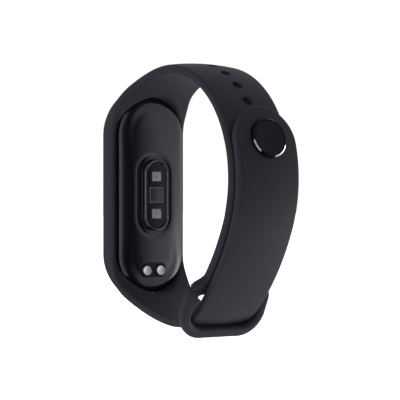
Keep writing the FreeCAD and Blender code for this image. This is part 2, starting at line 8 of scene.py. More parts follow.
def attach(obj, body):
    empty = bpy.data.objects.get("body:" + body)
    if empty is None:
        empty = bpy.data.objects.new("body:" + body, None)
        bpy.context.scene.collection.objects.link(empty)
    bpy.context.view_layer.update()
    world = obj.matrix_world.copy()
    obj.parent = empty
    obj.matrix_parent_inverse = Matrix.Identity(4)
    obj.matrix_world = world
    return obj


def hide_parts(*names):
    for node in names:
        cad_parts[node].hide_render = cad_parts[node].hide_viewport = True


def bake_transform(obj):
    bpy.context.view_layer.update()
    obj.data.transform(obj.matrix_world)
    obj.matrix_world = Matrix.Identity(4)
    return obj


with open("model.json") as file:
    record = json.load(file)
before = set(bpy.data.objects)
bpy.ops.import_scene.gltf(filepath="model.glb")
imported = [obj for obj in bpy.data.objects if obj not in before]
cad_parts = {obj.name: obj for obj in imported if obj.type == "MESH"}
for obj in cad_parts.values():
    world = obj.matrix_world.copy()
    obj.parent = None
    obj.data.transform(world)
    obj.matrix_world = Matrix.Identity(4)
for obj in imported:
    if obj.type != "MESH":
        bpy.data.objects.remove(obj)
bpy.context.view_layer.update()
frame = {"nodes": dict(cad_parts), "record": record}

# Shapes are worked out in millimetres and turned into metres as each mesh is made.
MM = 0.001

# ---- strap: driving sizes, the same path as the CAD strap ------------------------------
ARM_HALF_WIDTH = 8.2
ARM_EDGE = 1.95
ARM_MIDDLE = 2.55
POD_HALF_WIDTH = 10.3
POD_EDGE = 5.0
POD_MIDDLE = 7.0
LAYER_GAP = 0.25
POD_X = -21.4
POD_TOP_Z = 14.4
POD_BOTTOM_Z = -14.3
POD_EDGE_TURN = 45.0
POD_MIDDLE_TURN = 62.0
WIDTH_TAPER = (19.0, 28.0)
HOLE_ARM_ARCS = ((10.7, 60.8), (33.0, 19.2), (23.3, 63.5), (24.9, 60.0), (50.0, 18.6))
LOWER_ARM_ARCS = ((9.8, 60.0), (41.0, 24.0))
HOLE_RADIUS = 1.1
HOLE_PITCH = 4.85
HOLE_COUNT = 12
HOLES_ABOVE_STUD = 5
HOLE_END_CLEAR = 2.5
STUD_HEADING = 106.9
TAIL_CUTS = (0.0, 8.2, 16.4, 24.6, 31.8)
TIP_PAST_STUD = 7.5
TIP_RADIUS = 8.4

RING_HALF_WIDTH = 11.2
RING_DEPTH = 3.2
RING_FOOT = (6.9, -30.85)

STUD_RADIUS = 4.55
STUD_RIM = 0.5
STUD_TOP = ARM_MIDDLE + 0.65

# ---- capsule: driving sizes --------------------------------------------------------------
CAPSULE_HALF_WIDTH = 8.95
CAPSULE_HALF_LENGTH = 23.4
CAPSULE_FRONT_X = -29.5
CAPSULE_BACK_X = -18.7
SENSOR_OUTER = (3.5, 8.6)
SENSOR_INNER = (2.75, 7.9)
SENSOR_TOP_X = -17.62
SENSOR_WINDOW_X = -17.95
LED_Z = 4.45
CONTACT_Z = -18.1
CONTACT_Y = 1.95
CONTACT_RADIUS = 1.15


# ---- small maths ---------------------------------------------------------------------------
def clamp(value, low=0.0, high=1.0):
    return min(max(value, low), high)


def smooth(share):
    share = clamp(share)
    return share * share * (3 - 2 * share)


def mix(a, b, share):
    return a + (b - a) * share


class Path:
    """A plane path in XZ walked by distance; its moves are (radius, turn) or (length, 0)."""

    def __init__(self, x, z, heading, moves, outward):
        self.pieces = []
        self.outward = outward
        for radius, turn in moves:
            length = radius * radians(abs(turn)) if turn else radius
            self.pieces.append((x, z, heading, radius, turn, length))
            x, z, heading = self.step(self.pieces[-1], length)
        self.end = (x, z, heading)
        self.length = self.reach(len(self.pieces))

    def reach(self, count):
        """Distance to the end of the first few arcs and straights."""
        return sum(piece[5] for piece in self.pieces[:count])

    @staticmethod
    def step(piece, distance):
        x, z, heading, radius, turn, length = piece
        a = radians(heading)
        if not turn:
            return x + cos(a) * distance, z + sin(a) * distance, heading
        side = 1 if turn > 0 else -1
        b = a + side * distance / radius
        return (x + side * radius * (sin(b) - sin(a)), z - side * radius * (cos(b) - cos(a)), degrees(b))

    def at(self, distance):
        for piece in self.pieces:
            if distance <= piece[5]:
                return self.step(piece, distance)
            distance -= piece[5]
        return self.step(self.pieces[-1], self.pieces[-1][5] + distance)

    def point(self, distance, r, y):
        """A place r out from the path's face and y across the strap."""
        x, z, heading = self.at(distance)
        a = radians(heading + 90 * self.outward)
        return (x + cos(a) * r, y, z + sin(a) * r)

    def distance_at_heading(self, wanted, after=0.0):
        passed = 0.0
        for x, z, heading, radius, turn, length in self.pieces:
            reach = abs(turn)
            gone = (wanted - heading) * (1 if turn > 0 else -1)
            if turn and 0 <= gone <= reach and passed + length > after:
                return passed + length * gone / reach
            passed += length
        return self.length


def make_paths():
    """Inner faces of the hole arm and of the lower arm with its tail, and where the tail begins."""
    hole_arm = Path(POD_X, POD_TOP_Z, 90, [(r, -t) for r, t in HOLE_ARM_ARCS], 1)
    x, z, heading = hole_arm.end
    out = radians(heading + 90)
    layer = ARM_MIDDLE + LAYER_GAP
    meet = (x + cos(out) * layer, z + sin(out) * layer)
    low = Path(POD_X, POD_BOTTOM_Z, -90, LOWER_ARM_ARCS, -1)
    # One arc and one straight, tangent to both ends, lead the lower arm through the keeper.
    a, b = radians(low.end[2]), radians(heading + 180)
    gap_x, gap_z = meet[0] - low.end[0], meet[1] - low.end[1]
    across, up = sin(b) - sin(a), cos(a) - cos(b)
    scale = across * sin(b) - up * cos(b)
    bend = (gap_x * sin(b) - gap_z * cos(b)) / scale
    straight = (across * gap_z - up * gap_x) / scale
    outer = [(r + layer, t) for r, t in reversed(HOLE_ARM_ARCS)][:3]
    moves = list(LOWER_ARM_ARCS) + [(bend, heading + 180 - low.end[2]), (straight, 0)] + outer
    lower = Path(POD_X, POD_BOTTOM_Z, -90, moves, -1)
    return hole_arm, lower, lower.reach(len(LOWER_ARM_ARCS) + 2)


HOLE_ARM, LOWER, LEAD = make_paths()
STUD_AT = LOWER.distance_at_heading(STUD_HEADING, LEAD)
ENGAGED_AT = HOLE_ARM.distance_at_heading(STUD_HEADING - 180)


# ---- mesh helpers --------------------------------------------------------------------------
def new_object(name, points, faces):
    mesh = bpy.data.meshes.new(name)
    mesh.from_pydata([(x * MM, y * MM, z * MM) for x, y, z in points], [], faces)
    mesh.validate()
    obj = bpy.data.objects.new(name, mesh)
    bpy.context.scene.collection.objects.link(obj)
    fix_normals(obj)
    return obj


def fix_normals(obj):
    bm = bmesh.new()
    bm.from_mesh(obj.data)
    bmesh.ops.recalc_face_normals(bm, faces=bm.faces)
    bm.to_mesh(obj.data)
    bm.free()


def shade(obj, angle):
    """Smooth shading with edges sharper than an angle in degrees left sharp."""
    obj.data.shade_smooth()
    obj.data.set_sharp_from_angle(angle=radians(angle))
    return obj


def mirror_cap(first, size):
    """Strip of faces over a ring whose point k mirrors point size - k."""
    faces = [(first, first + 1, first + size - 1)]
    for k in range(1, size // 2 - 1):
        faces.append((first + k, first + k + 1, first + size - k - 1, first + size - k))
    faces.append((first + size // 2 - 1, first + size // 2, first + size // 2 + 1))
    return faces


def rings_to_faces(count, size, closed=False, mirrored=False):
    """Quads between rings of equal size, capped unless the rings close on themselves."""
    faces = []
    for i in range(count if closed else count - 1):
        a, b = i * size, ((i + 1) % count) * size
        for k in range(size):
            j = (k + 1) % size
            faces.append((a + k, a + j, b + j, b + k))
    if mirrored:
        faces += mirror_cap(0, size) + mirror_cap((count - 1) * size, size)
    elif not closed:
        faces.append(tuple(range(size)))
        faces.append(tuple(range((count - 1) * size, count * size)))
    return faces


def ring_object(name, rings, closed=False, mirrored=False):
    points = [p for ring in rings for p in ring]
    return new_object(name, points, rings_to_faces(len(rings), len(rings[0]), closed, mirrored))


def lathe(name, profile, place, segments):
    """Profile of (radius, height) turned about an axis; place maps (u, v, height) to x, y, z."""
    rings = []
    for k in range(segments):
        a = 2 * pi * k / segments
        rings.append([place(r * cos(a), r * sin(a), h) for r, h in profile])
    return ring_object(name, rings, closed=True)


def apply_modifiers(obj):
    depsgraph = bpy.context.evaluated_depsgraph_get()
    mesh = bpy.data.meshes.new_from_object(obj.evaluated_get(depsgraph))
    obj.modifiers.clear()
    old = obj.data
    obj.data = mesh
    bpy.data.meshes.remove(old)


def boolean(obj, cutter):
    """Cuts one object out of another and removes the cutter."""
    modifier = obj.modifiers.new("cut", "BOOLEAN")
    modifier.operation = "DIFFERENCE"
    modifier.solver = "EXACT"
    modifier.object = cutter
    bpy.context.view_layer.update()
    apply_modifiers(obj)
    bpy.data.objects.remove(cutter)


def join(objects):
    """One object out of several, keeping the first one's name."""
    bm = bmesh.new()
    for obj in objects:
        bm.from_mesh(obj.data)
    bm.to_mesh(objects[0].data)
    bm.free()
    for obj in objects[1:]:
        bpy.data.objects.remove(obj)
    return objects[0]


# ---- strap sections --------------------------------------------------------------------------
SIDE_STEPS = 7
TOP_STEPS = 22
CORNER_LIMIT = 0.6
ARM_CORNERS = (0.6, 0.45)
POD_CORNERS = (1.1, 0.7)
ARM_SIZES = (ARM_HALF_WIDTH, ARM_EDGE, ARM_MIDDLE, *ARM_CORNERS)
POD_SIZES = (POD_HALF_WIDTH, POD_EDGE, POD_MIDDLE, *POD_CORNERS)


def rounding(distance, radius):
    """How far a rounded edge falls away at a distance in from the outline."""
    if distance >= radius:
        return 0.0
    return radius - sqrt(max(radius * radius - (radius - distance) ** 2, 0.0))


def across_places(half_width, corner):
    """Places across the strap, close together where the edges round off."""
    corner = min(corner, half_width * CORNER_LIMIT)
    edge = [half_width - corner * (1 - cos(pi / 2 * k / SIDE_STEPS)) for k in range(SIDE_STEPS)]
    flat = half_width - corner
    middle = [flat * (1 - 2 * k / TOP_STEPS) for k in range(TOP_STEPS + 1)]
    return edge + middle + [-y for y in reversed(edge)]


def strap_ring(path, distance, half_width, edge, middle, corner_out, corner_in, from_outline=None):
    """Section loop: over the crowned outer face and back along the flat inner face."""
    from_outline = from_outline or (lambda y: half_width - abs(y))
    loop = []
    for y in across_places(half_width, corner_out):
        crown = middle - (middle - edge) * (y / max(half_width, ARM_HALF_WIDTH)) ** 2
        loop.append(path.point(distance, crown - rounding(max(from_outline(y), 0), corner_out), y))
    for y in reversed(across_places(half_width, corner_in)):
        loop.append(path.point(distance, rounding(max(from_outline(y), 0), corner_in), y))
    return loop


TAPERED_ARCS = 2


def strap_sizes(path, distance):
    """Half width, thicknesses and corners of the strap: the pod's, blended into the arm's."""
    if distance >= path.reach(TAPERED_ARCS):
        return ARM_SIZES
    x, z, heading = path.at(distance)
    leaned = abs(heading - path.at(0)[2])
    narrow = smooth((abs(z) - WIDTH_TAPER[0]) / (WIDTH_TAPER[1] - WIDTH_TAPER[0]))
    thin = smooth(leaned / POD_EDGE_TURN)
    thin_middle = smooth(leaned / POD_MIDDLE_TURN)
    shares = (narrow, thin, thin_middle, thin, thin)
    return [mix(pod, arm, share) for pod, arm, share in zip(POD_SIZES, ARM_SIZES, shares)]


STEP = 0.7
ROOT_LAP = 2.0
FLARE_LENGTH = 3.2
FLARE = 2.4
STRAP_SHARP_ANGLE = 40


def arm_distances(low, high, step=STEP):
    count = max(2, int(round((high - low) / step)))
    return [mix(low, high, k / count) for k in range(count + 1)]


def make_strap_body():
    """Lower arm, pod and hole arm in one skin, from the tail's root round to the keeper's top."""
    lower_places = reversed(arm_distances(0, LEAD - ROOT_LAP))
    rings = [strap_ring(LOWER, d, *strap_sizes(LOWER, d)) for d in lower_places]
    straight = Path(POD_X, POD_BOTTOM_Z, 90, [(POD_TOP_Z - POD_BOTTOM_Z, 0)], 1)
    rings += [strap_ring(straight, d, *POD_SIZES) for d in arm_distances(0, straight.length)[1:-1]]
    for distance in arm_distances(0, HOLE_ARM.length):
        half_width, *others = strap_sizes(HOLE_ARM, distance)
        flare = smooth((distance - HOLE_ARM.length + FLARE_LENGTH) / FLARE_LENGTH) * FLARE
        rings.append(strap_ring(HOLE_ARM, distance, half_width + flare, *others))
    body = ring_object("strap_body", rings)
    boolean(body, make_pocket_cutter())
    for k in range(HOLE_COUNT):
        distance = ENGAGED_AT + (k - HOLES_ABOVE_STUD) * HOLE_PITCH
        if distance < HOLE_ARM.length - HOLE_END_CLEAR:
            boolean(body, make_hole_cutter(distance))
    return shade(body, STRAP_SHARP_ANGLE)


def stadium_loop(half_width, half_length, count=160):
    """Points (y, z) round an upright stadium, from its lowest point; point k mirrors count - k."""
    radius = half_width
    straight = max(half_length - half_width, 0)
    quarter, side = pi * radius / 2, 2 * straight
    loop = []
    for k in range(count):
        s = (4 * quarter + 2 * side) * min(k, count - k) / count
        if s < quarter:
            a = s / radius
            y, z = radius * sin(a), -straight - radius * cos(a)
        elif s < quarter + side:
            y, z = radius, s - quarter - straight
        else:
            a = (s - quarter - side) / radius
            y, z = radius * cos(a), straight + radius * sin(a)
        loop.append((y if k <= count / 2 else -y, z))
    return loop


NEARLY_ALL = 0.999


def inner_face_x(z):
    """How far +X the strap's inner face stands at a height, near the pod."""
    if POD_BOTTOM_Z <= z <= POD_TOP_Z:
        return POD_X
    radius, base = (HOLE_ARM_ARCS[0][0], POD_TOP_Z) if z > 0 else (LOWER_ARM_ARCS[0][0], POD_BOTTOM_Z)
    rise = min(abs(z - base), radius * NEARLY_ALL)
    return POD_X + radius - sqrt(radius * radius - rise * rise)


POCKET_CLEAR = 0.1
POCKET_STRAIGHT_X = -26.0
RIM_ROUND = 0.55
RIM_STEPS = 5
RIM_SLACK = 0.02


def make_pocket_cutter():
    """The capsule's pocket, flared where it meets the strap's inner face."""
    levels = [(0.0, lambda z: CAPSULE_FRONT_X - 3.0), (0.0, lambda z: POCKET_STRAIGHT_X)]
    for k in range(RIM_STEPS + 1):
        a = pi / 2 * k / RIM_STEPS
        levels.append((RIM_ROUND * (1 - cos(a)), lambda z, a=a: inner_face_x(z) + RIM_ROUND * (sin(a) - 1)))
    for lift in (0.4, 8.0):
        levels.append((RIM_ROUND + RIM_SLACK, lambda z, lift=lift: inner_face_x(z) + lift))
    rings = []
    for grow, x_at in levels:
        half_width = CAPSULE_HALF_WIDTH + POCKET_CLEAR + grow
        half_length = CAPSULE_HALF_LENGTH + POCKET_CLEAR + grow
        rings.append([(x_at(z), y, z) for y, z in stadium_loop(half_width, half_length)])
    return ring_object("pocket_cutter", rings, mirrored=True)


HOLE_WIDER_INSIDE = 0.25
HOLE_CHAMFER = 0.35
CUT_PAST = 1.5


def make_hole_cutter(distance):
    """An adjustment hole: wider on the wrist side, with a soft chamfer on the outer face."""
    inside = HOLE_RADIUS + HOLE_WIDER_INSIDE
    outside = HOLE_RADIUS + HOLE_CHAMFER
    profile = [(0.0, -CUT_PAST), (inside, -CUT_PAST), (inside, -0.02), (HOLE_RADIUS, 0.25),
               (HOLE_RADIUS, ARM_MIDDLE - 0.3), (HOLE_RADIUS + 0.12, ARM_MIDDLE - 0.08),
               (outside, ARM_MIDDLE + 0.12), (outside, ARM_MIDDLE + 1.0), (0.0, ARM_MIDDLE + 1.0)]
    return turned("hole_cutter", profile, HOLE_ARM, distance, 48)


def turned(name, profile, path, distance, segments):
    """Solid of revolution about the strap's normal at a place on a path.

    The profile of (radius, height) either starts and ends on the axis or closes on itself.
    """
    x, z, heading = path.at(distance)
    along = Vector((cos(radians(heading)), 0, sin(radians(heading))))
    out = radians(heading + 90 * path.outward)
    normal = Vector((cos(out), 0, sin(out)))
    base = Vector((x, 0, z))
    off_axis = [p for p in profile if p[0] > 0]
    size = len(off_axis)
    points = []
    faces = []
    for k in range(segments):
        a = 2 * pi * k / segments
        here, there = k * size, (k + 1) % segments * size
        outward = along * cos(a) + Vector((0, sin(a), 0))
        points += [base + outward * r + normal * h for r, h in off_axis]
        faces += [(here + i, here + i + 1, there + i + 1, there + i) for i in range(size - 1)]
        if profile[0][0] > 0:
            faces.append((here, here + size - 1, there + size - 1, there))
    if profile[0][0] == 0:
        for height, index in ((profile[0][1], 0), (profile[-1][1], size - 1)):
            centre = len(points)
            points.append(base + normal * height)
            faces += [(centre, k * size + index, (k + 1) % segments * size + index)
                      for k in range(segments)]
    return new_object(name, [tuple(p) for p in points], faces)


# ---- tail ------------------------------------------------------------------------------------
TAIL_STEP = 0.6
TIP_STEPS = 26


def tail_rings():
    """Distances and section loops of the tail, from just inside the root's end to the round tip."""
    tip_start = STUD_AT + TIP_PAST_STUD - TIP_RADIUS
    places = arm_distances(LEAD - ROOT_LAP, tip_start, TAIL_STEP)
    rings = [(d, strap_ring(LOWER, d, *ARM_SIZES)) for d in places]
    for k in range(1, TIP_STEPS):
        a = pi / 2 * k / TIP_STEPS
        along = TIP_RADIUS * sin(a)

        def from_outline(y, along=along):
            return ARM_HALF_WIDTH - sqrt(y * y + (along * ARM_HALF_WIDTH / TIP_RADIUS) ** 2)

        place = tip_start + along
        sizes = (ARM_HALF_WIDTH * cos(a), *ARM_SIZES[1:])
        rings.append((place, strap_ring(LOWER, place, *sizes, from_outline)))
    return rings


def tail_normals(rings):
    """Smooth normals of the whole tail, taken with one more ring before the root."""
    before = strap_ring(LOWER, LEAD - ROOT_LAP - TAIL_STEP, *ARM_SIZES)
    whole = ring_object("tail_whole", [before] + [ring for d, ring in rings])
    normals = [v.normal.copy() for v in whole.data.vertices][len(before):]
    bpy.data.objects.remove(whole)
    return normals


def tail_borders(rings):
    """Ring numbers where the tail is cut: its ends and halfway between hinges."""
    cuts = [LEAD + cut for cut in TAIL_CUTS] + [STUD_AT]
    marks = [rings[0][0]] + [(a + b) / 2 for a, b in zip(cuts[:-1], cuts[1:])] + [rings[-1][0]]
    return [min(range(len(rings)), key=lambda i: abs(rings[i][0] - mark)) for mark in marks]


def make_tail():
    """Tail pieces with their normals, the place of the hinge inside each, and their bodies."""
    rings = tail_rings()
    normals = tail_normals(rings)
    borders = tail_borders(rings)
    size = len(rings[0][1])
    bodies = ["strap"] + ["tail_%d" % (k + 1) for k in range(len(TAIL_CUTS))]
    pieces = []
    for k, (low, high) in enumerate(zip(borders[:-1], borders[1:])):
        piece = ring_object("tail_skin_%d" % (k + 1), [ring for d, ring in rings[low:high + 1]])
        piece.data.shade_smooth()
        hinge = LEAD + TAIL_CUTS[k] if k < len(TAIL_CUTS) else None
        pieces.append((piece, normals[low * size:(high + 1) * size], hinge, bodies[k:k + 2]))
    return pieces


def set_normals(piece, normals):
    """Shades a cut piece as part of the whole skin; the hidden caps stay flat."""
    mesh = piece.data
    loops = []
    for face in mesh.polygons:
        cap = len(face.vertices) > 4
        for index in face.vertices:
            loops.append(tuple(face.normal) if cap else tuple(normals[index]))
    mesh.normals_split_custom_set(loops)


# ---- keeper ring -------------------------------------------------------------------------------
def ring_plane():
    """Lean of the keeper ring's plane and the ring's height, from its foot to the hole arm's end."""
    x, z, heading = HOLE_ARM.end
    out = radians(heading + 90)
    shoulder = (x + cos(out) * ARM_MIDDLE, z + sin(out) * ARM_MIDDLE)
    dx, dz = shoulder[0] - RING_FOOT[0], shoulder[1] - RING_FOOT[1]
    length = sqrt(dx * dx + dz * dz)
    shift = asin(RING_DEPTH / 2 / length)
    return atan2(dz, dx) + shift, length * cos(shift)


RING_BAR = 0.98
RING_FOOT_BAR = 1.42
RING_FOOT_RISE = 4.0
RING_FOOT_SLIMMER = 0.1
RING_TOP_SUNK = 0.1
RING_CORNER = 5.0
RING_TOP_CORNER = 2.4
RING_CORNER_STEPS = 14
RING_SIDE_STEPS = 12
RING_AROUND = 36
RING_SQUARENESS = 0.72


def rounded_frame(half_width, high):
    """Middle line of the keeper loop: (across, up, outward across, outward up) at each place."""
    corners = [(1, -1, RING_CORNER), (1, 1, RING_TOP_CORNER),
               (-1, 1, RING_TOP_CORNER), (-1, -1, RING_CORNER)]
    arcs = []
    for k, (side, end, radius) in enumerate(corners):
        centre_y = side * (half_width - radius)
        centre_s = high - radius if end > 0 else radius
        turns = [pi / 2 * (k - 1 + i / RING_CORNER_STEPS) for i in range(RING_CORNER_STEPS + 1)]
        arcs.append([(centre_y + radius * cos(a), centre_s + radius * sin(a), cos(a), sin(a))
                     for a in turns])
    loop = []
    for arc, following in zip(arcs, arcs[1:] + arcs[:1]):
        y, s, out_y, out_s = arc[-1]
        next_y, next_s = following[0][:2]
        loop += arc
        for i in range(1, RING_SIDE_STEPS):
            share = i / RING_SIDE_STEPS
            loop.append((mix(y, next_y, share), mix(s, next_s, share), out_y, out_s))
    return loop


def squarish(value):
    """Sine or cosine pushed outward, so that a round bar gets flatter sides."""
    return abs(value) ** RING_SQUARENESS * (1 if value >= 0 else -1)


def make_keeper_ring():
    """Closed moulded loop, thicker at the foot, its top buried in the hole arm's end."""
    lean, height = ring_plane()
    rings = []
    for y, s, out_y, out_s in rounded_frame(RING_HALF_WIDTH - RING_BAR, height - RING_TOP_SUNK):
        foot = smooth((RING_FOOT_RISE - s) / RING_FOOT_RISE)
        bar = mix(RING_BAR, RING_FOOT_BAR, foot)
        depth = RING_DEPTH / 2 - RING_FOOT_SLIMMER * foot
        ring = []
        for k in range(RING_AROUND):
            a = 2 * pi * k / RING_AROUND
            u = squarish(cos(a)) * bar
            v = squarish(sin(a)) * depth
            up = s + out_s * u
            x = RING_FOOT[0] + cos(lean) * up + sin(lean) * v
            z = RING_FOOT[1] + sin(lean) * up - cos(lean) * v
            ring.append((x, y + out_y * u, z))
        rings.append(ring)
    return shade(ring_object("keeper_loop", rings, closed=True), 60)


# ---- stud ----------------------------------------------------------------------------------------
STUD_SEAT = ARM_MIDDLE - 0.35
STUD_SHARP_ANGLE = 25
CAP_CLEAR = 0.07
CAP_EDGE = 0.14
CAP_STEPS = 8
CAP_DISH = 0.05
PIN_RADIUS = 0.98
PIN_HEAD_RADIUS = 1.68
WASHER_RADIUS = 2.8
WASHER_THICKNESS = 0.3


def make_stud_rim():
    """Chamfered ring round the cap."""
    r, top = STUD_RADIUS, STUD_TOP
    inside = r - STUD_RIM
    profile = [(inside - 0.05, STUD_SEAT), (r - 0.12, STUD_SEAT), (r, STUD_SEAT + 0.15), (r, top - 0.38),
               (r - 0.04, top - 0.28), (inside + 0.14, top - 0.02), (inside + 0.06, top),
               (inside, top - 0.03), (inside - 0.05, top - 0.12)]
    return shade(turned("stud_rim_ring", profile, LOWER, STUD_AT, 160), STUD_SHARP_ANGLE)


def make_stud_cap():
    """Flat cap, sunk a little inside the rim and barely dished."""
    edge = STUD_RADIUS - STUD_RIM - CAP_CLEAR
    top = STUD_TOP - 0.12
    profile = [(0.0, STUD_SEAT + 0.1), (edge, STUD_SEAT + 0.1), (edge, top - 0.1),
               (edge - 0.05, top - 0.03), (edge - CAP_EDGE, top)]
    for k in range(1, CAP_STEPS + 1):
        share = k / CAP_STEPS
        profile.append(((edge - CAP_EDGE) * (1 - share), top - CAP_DISH * smooth(share * 2)))
    return shade(turned("stud_face", profile, LOWER, STUD_AT, 160), STUD_SHARP_ANGLE)


def make_stud_pin():
    """Pin through both layers with its mushroom head, and the washer under the cap."""
    under = -(ARM_MIDDLE + LAYER_GAP) - 0.1
    head = PIN_HEAD_RADIUS
    profile = [(0.0, under - 0.86), (0.7, under - 0.84), (1.25, under - 0.66), (head - 0.08, under - 0.3),
               (head, under - 0.12), (head - 0.06, under - 0.02), (PIN_RADIUS + 0.02, under),
               (PIN_RADIUS, under + 0.2), (PIN_RADIUS, STUD_SEAT), (WASHER_RADIUS, STUD_SEAT + 0.02),
               (WASHER_RADIUS, STUD_SEAT + WASHER_THICKNESS), (0.0, STUD_SEAT + WASHER_THICKNESS)]
    return shade(turned("stud_pin_turned", profile, LOWER, STUD_AT, 64), 35)


# ---- capsule ---------------------------------------------------------------------------------------
OUTLINE_POINTS = 240
OUTLINE = (CAPSULE_HALF_WIDTH, CAPSULE_HALF_LENGTH)
SPINE = (0.05, CAPSULE_HALF_LENGTH - CAPSULE_HALF_WIDTH + 0.05)
BACK_CROWN = 1.05
BACK_EDGE_ROLL = 0.75
BACK_END_DROP = 0.5
BACK_END_Z = 19.0
DISH_DEPTH = 0.42
DISH_AT = 0.35
DISH_WIDTH = 0.9
FRONT_SIDE_ROLL = 2.1
FRONT_END_DROP = 4.1
FRONT_FLAT_Z = 13.0
GLASS_THICKNESS = 1.05
SHELL_LIP = 1.25
UNDER_LEVELS = (0.0, 0.05, 0.3, 0.7, 1.0)
LIP_LEVELS = (0.0, 0.03, 0.2, 0.6, 1.0)
SENSOR_HOLE_XS = (-20.6, -15.0)
BURIED_X = -20.2


def stadium_levels(levels, outer, inner, x_of):
    """Rings from an outer to an inner stadium; x_of gives each point's depth."""
    rings = []
    for share in levels:
        half_width = mix(outer[0], inner[0], share)
        half_length = mix(outer[1], inner[1], share)
        ring = []
        for y, z in stadium_loop(half_width, half_length, OUTLINE_POINTS):
            ring.append((x_of(y, z, share), y, z))
        rings.append(ring)
    return rings


def edge_share(y, z):
    """0 at the capsule's outline, 1 on its middle line."""
    straight = CAPSULE_HALF_LENGTH - CAPSULE_HALF_WIDTH
    past = max(abs(z) - straight, 0.0)
    return clamp(1 - sqrt(y * y + past * past) / CAPSULE_HALF_WIDTH)


def back_x(y, z):
    """The capsule's back: crowned across, lower at its ends, dished round the sensor."""
    e = edge_share(y, z)
    crown = BACK_CROWN * (1 - e) ** 2 + BACK_EDGE_ROLL * (1 - e) ** 9
    along = BACK_END_DROP * (abs(z) / BACK_END_Z) ** 2.4 * smooth(e * 2.5)
    past = max(abs(z) - (SENSOR_OUTER[1] - SENSOR_OUTER[0]), 0.0)
    beside = sqrt(y * y + past * past) - SENSOR_OUTER[0]
    dish = DISH_DEPTH * exp(-((beside - DISH_AT) / DISH_WIDTH) ** 2)
    return CAPSULE_BACK_X - crown - along - dish


def front_x(y, z):
    """The cover glass: flat in the middle, rolled off at its edges and long ends."""
    side = FRONT_SIDE_ROLL * (1 - edge_share(y, z)) ** 4.5
    end = FRONT_END_DROP * clamp((abs(z) - FRONT_FLAT_Z) / (CAPSULE_HALF_LENGTH - FRONT_FLAT_Z)) ** 2.3
    return CAPSULE_FRONT_X + side + end


def side_levels(count, power):
    """Shares from the outline to the spine, close together near the outline."""
    return [(k / count) ** power for k in range(count + 1)]


def make_capsule_shell():
    """Rear shell: back face, side wall and the lip under the glass, with sensor and contact openings."""
    back = stadium_levels(side_levels(56, 1.6), OUTLINE, SPINE, lambda y, z, s: back_x(y, z))
    front_lip = stadium_levels(LIP_LEVELS, OUTLINE, SPINE,
                               lambda y, z, s: front_x(y, z) + SHELL_LIP + (0.05 if s == 0 else 0))
    shell = ring_object("capsule_shell", list(reversed(back)) + front_lip, mirrored=True)
    opening = stadium_loop(SENSOR_OUTER[0] - 0.1, SENSOR_OUTER[1] - 0.1, 120)
    boolean(shell, ring_object("sensor_hole", [[(x, y, z) for y, z in opening] for x in SENSOR_HOLE_XS]))
    boolean(shell, make_contact_recess_cutter())
    return shade(shell, 28)


def lying_stadium(half_height, half_width, x):
    """A stadium loop that lies along Y, round the charging contacts."""
    return [(x, y, CONTACT_Z + z) for z, y in stadium_loop(half_height, half_width, 96)]


RECESS_HALF = (1.85, 3.65)
RECESS_EDGE = ((-0.1, -20.0), (-0.1, -19.5), (-0.04, -19.2), (0.1, -19.05), (0.3, -18.95), (0.4, -17.0))


def make_contact_recess_cutter():
    rings = [lying_stadium(RECESS_HALF[0] + grow, RECESS_HALF[1] + grow, x) for grow, x in RECESS_EDGE]
    return ring_object("recess_cutter", rings, mirrored=True)


def make_glass():
    outline = (CAPSULE_HALF_WIDTH - 0.03, CAPSULE_HALF_LENGTH - 0.03)
    outer = stadium_levels(side_levels(44, 1.7), outline, SPINE, lambda y, z, s: front_x(y, z))
    under = stadium_levels(UNDER_LEVELS, outline, SPINE, lambda y, z, s: front_x(y, z) + GLASS_THICKNESS)
    return shade(ring_object("cover_glass", list(reversed(outer)) + under, mirrored=True), 30)


def make_gasket():
    """Thin rubber line between the cover glass and the shell."""
    top, foot = GLASS_THICKNESS - 0.02, SHELL_LIP + 0.02
    rings = []
    for share, lift in ((0.015, top), (0.015, foot), (0.12, foot), (0.12, top)):
        rings += stadium_levels([share], OUTLINE, SPINE, lambda y, z, s, lift=lift: front_x(y, z) + lift)
    return shade(ring_object("gasket_line", rings, closed=True), 40)


WELL_DEPTH = 0.35
EMITTER_WELL_HALF = (1.42, 1.27)
PHOTODIODE_WELL_HALF = (2.15, 2.05)


def make_bezel():
    """The raised stadium ring: a rounded section swept round the window."""
    top = SENSOR_TOP_X
    section = [(0.0, BURIED_X), (0.74, BURIED_X), (0.74, -19.3), (0.72, top - 0.55), (0.65, top - 0.22),
               (0.53, top - 0.06), (0.38, top), (0.24, top - 0.03), (0.12, top - 0.12), (0.02, top - 0.3),
               (0.0, top - 0.5)]
    rings = [[(x, y, z) for y, z in stadium_loop(SENSOR_INNER[0] + grow, SENSOR_INNER[1] + grow, 200)]
             for grow, x in section]
    return shade(ring_object("sensor_ring", rings, closed=True), 50)


def make_window():
    """The dark pane, barely domed, with a well for each emitter and for the photodiode."""
    x = SENSOR_WINDOW_X
    width, length = SENSOR_INNER
    levels = [(width - 0.03, length - 0.03, BURIED_X), (width - 0.03, length - 0.03, x - 0.12),
              (width - 0.1, length - 0.1, x - 0.03), (width - 0.25, length - 0.25, x), (0.2, 5.0, x + 0.04)]
    rings = [[(level_x, y, z) for y, z in stadium_loop(w, h, 160)] for w, h, level_x in levels]
    window = ring_object("sensor_pane", rings, mirrored=True)
    wells = ((LED_Z, EMITTER_WELL_HALF), (-LED_Z, EMITTER_WELL_HALF), (0, PHOTODIODE_WELL_HALF))
    for z, (half_y, half_z) in wells:
        boolean(window, centred_block("well", (x - WELL_DEPTH, x + 1), half_y, half_z, z, 0.12))
    return shade(window, 30)


